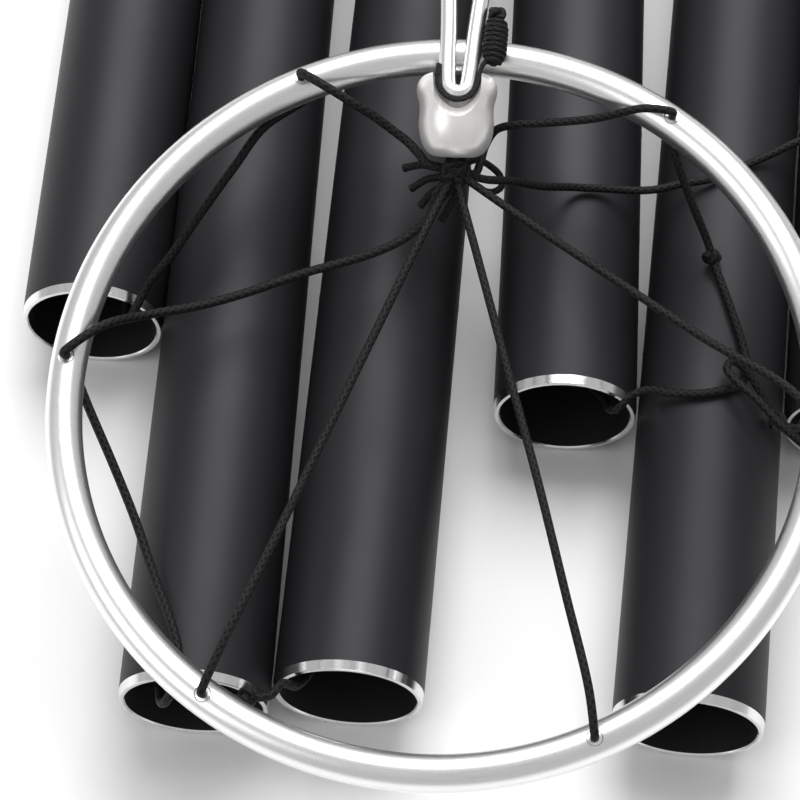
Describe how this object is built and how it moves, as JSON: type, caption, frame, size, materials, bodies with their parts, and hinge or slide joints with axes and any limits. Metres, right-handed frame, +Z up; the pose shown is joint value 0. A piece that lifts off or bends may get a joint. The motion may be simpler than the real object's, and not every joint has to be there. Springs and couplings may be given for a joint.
{
  "type": "wind chime",
  "caption": "Wind chime lying down: black metal tubes under a silver suspension ring, gathered by braided cords into a capped hanging link, with a round striker and a wind sail.",
  "frame": {"origin": "under the middle of the chime's box, on the surface it lies on", "axes": "+Y along the tubes from their corded ends to their free ends, +Z up, +X to the right"},
  "size_m": [0.5394, 0.949, 0.1163],
  "materials": {
    "tube": "satin black anodised, bare machined rim",
    "ring": "satin brushed",
    "link": "polished",
    "ferrule": "cast and brushed",
    "cord": "black braided nylon",
    "striker": "black stained, open grain",
    "sail": "satin black anodised",
    "pin": "plain drawn pin"
  },
  "bodies": {
    "ring": {"suspension_ring": "ring", "gathering_knot": "cord", "suspension_cord_1": "cord", "suspension_cord_2": "cord", "suspension_cord_3": "cord", "suspension_cord_4": "cord", "suspension_cord_5": "cord", "suspension_cord_6": "cord", "stop_knot_1": "cord", "stop_knot_2": "cord", "stop_knot_3": "cord", "stop_knot_4": "cord", "stop_knot_5": "cord", "stop_knot_6": "cord", "tube_cord_2": "cord", "tube_cord_3": "cord", "tube_cord_4": "cord", "tube_cord_5": "cord", "tube_cord_6": "cord", "cord_tail_1": "cord", "cord_tail_2": "cord", "cord_tail_3": "cord", "cord_tail_4": "cord", "cord_tail_5": "cord", "cord_loop": "cord", "striker_cord": "cord"},
    "hanger": {"ferrule": "ferrule"},
    "link": {"hanging_link": "link", "link_lashing": "cord"},
    "tube_one": {"tube_1": "tube", "tube_pin_1": "pin", "tube_cord_1": "cord"},
    "tube_two": {"tube_2": "tube", "tube_pin_2": "pin"},
    "tube_three": {"tube_3": "tube", "tube_pin_3": "pin"},
    "tube_four": {"tube_4": "tube", "tube_pin_4": "pin"},
    "tube_five": {"tube_5": "tube", "tube_pin_5": "pin"},
    "tube_six": {"tube_6": "tube", "tube_pin_6": "pin"},
    "striker_disc": {"striker": "striker", "striker_knot_top": "cord", "striker_knot_bottom": "cord", "sail_cord": "cord"},
    "sail": {"wind_sail": "sail", "sail_knot": "cord"}
  },
  "joints": [
    {"name": "hanger_tip", "type": "hinge", "parent": "ring", "child": "hanger", "pos_m": [-0.11657, -0.26403, 0.08901], "axis": [1, 0, 0], "range_deg": [0, 50]},
    {"name": "link_rock", "type": "hinge", "parent": "hanger", "child": "link", "pos_m": [-0.11604, -0.24311, 0.10478], "axis": [0.9996, -0.0284, 0.0045], "range_deg": [0, 60]},
    {"name": "tube_1_swing", "type": "hinge", "parent": "ring", "child": "tube_one", "pos_m": [-0.23026, -0.29299, 0.04], "axis": [0, 0, 1], "range_deg": [0, 12]},
    {"name": "tube_2_draw", "type": "slide", "parent": "ring", "child": "tube_two", "axis": [0.0604, 0.9982, 0], "range_m": [0, 0.03]},
    {"name": "tube_3_draw", "type": "slide", "parent": "ring", "child": "tube_three", "axis": [0.0873, 0.9962, 0], "range_m": [0, 0.03]},
    {"name": "tube_4_draw", "type": "slide", "parent": "ring", "child": "tube_four", "axis": [0.0619, 0.9981, 0], "range_m": [0, 0.03]},
    {"name": "tube_5_draw", "type": "slide", "parent": "ring", "child": "tube_five", "axis": [0.1208, 0.9927, 0], "range_m": [0, 0.03]},
    {"name": "tube_6_draw", "type": "slide", "parent": "ring", "child": "tube_six", "axis": [0.1219, 0.9925, 0], "range_m": [0, 0.03]},
    {"name": "striker_swing", "type": "hinge", "parent": "ring", "child": "striker_disc", "pos_m": [0.03674, -0.21859, 0.0522], "axis": [0, 0, 1], "range_deg": [0, 5]},
    {"name": "sail_turn", "type": "hinge", "parent": "striker_disc", "child": "sail", "pos_m": [0.19974, 0.35801, 0.007], "axis": [0, 0, 1], "range_deg": [-40, 40]}
  ]
}
